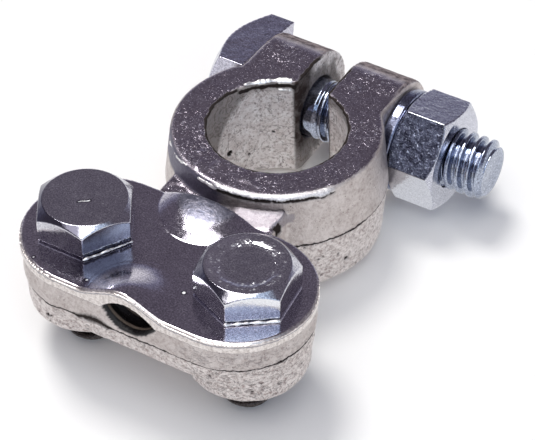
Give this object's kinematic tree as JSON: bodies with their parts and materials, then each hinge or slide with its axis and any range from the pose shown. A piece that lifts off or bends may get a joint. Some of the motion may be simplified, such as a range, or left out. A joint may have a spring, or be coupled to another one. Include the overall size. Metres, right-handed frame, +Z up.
{
  "type": "battery terminal clamp",
  "caption": "Split cast ring that a pinch bolt closes on a tapered battery post, with a saddle and bolted plate that hold a bared cable.",
  "frame": {"origin": "on the axis of the tapered ring bore, at the ring's underside", "axes": "+Z up along the bore's axis, +X along the pinch bolt towards its nut, +Y from the ring towards the ears, so the cable saddle lies towards -Y"},
  "size_m": [0.0422, 0.0571, 0.0213],
  "materials": {
    "cast_lead": "matt",
    "plate_steel": "satin",
    "bolt_steel": "satin",
    "plated_steel": "gloss"
  },
  "bodies": {
    "casting": {"terminal_body": "cast_lead", "pinch_bolt": "plated_steel"},
    "clamp_plate": {"cable_clamp_plate": "plate_steel"},
    "bolt_left": {"cable_bolt_left": "bolt_steel"},
    "bolt_right": {"cable_bolt_right": "bolt_steel"},
    "washer": {"pinch_washer": "plated_steel"},
    "nut": {"pinch_nut": "bolt_steel"}
  },
  "joints": [
    {"name": "plate_lift", "type": "slide", "parent": "casting", "child": "clamp_plate", "axis": [0, 0, 1], "range_m": [0, 0.00762]},
    {"name": "bolt_left_turn", "type": "hinge", "parent": "clamp_plate", "child": "bolt_left", "pos_m": [-0.0112, -0.0257, 0], "axis": [0, 0, 1], "range_deg": [0, 2161]},
    {"name": "bolt_right_turn", "type": "hinge", "parent": "clamp_plate", "child": "bolt_right", "pos_m": [0.0112, -0.0257, 0], "axis": [0, 0, 1], "range_deg": [0, 2161]},
    {"name": "washer_slide", "type": "slide", "parent": "casting", "child": "washer", "axis": [1, 0, 0], "range_m": [0, 0.00494]},
    {"name": "nut_turn", "type": "hinge", "parent": "washer", "child": "nut", "pos_m": [0, 0.0139, 0.00765], "axis": [1, 0, 0], "range_deg": [0, 1261]}
  ],
  "couplings": [
    {"joint": "bolt_left_turn", "follows": "plate_lift", "rad_per_m": 4947.4},
    {"joint": "bolt_right_turn", "follows": "plate_lift", "rad_per_m": 4947.4},
    {"joint": "nut_turn", "follows": "washer_slide", "rad_per_m": 4452.7}
  ]
}
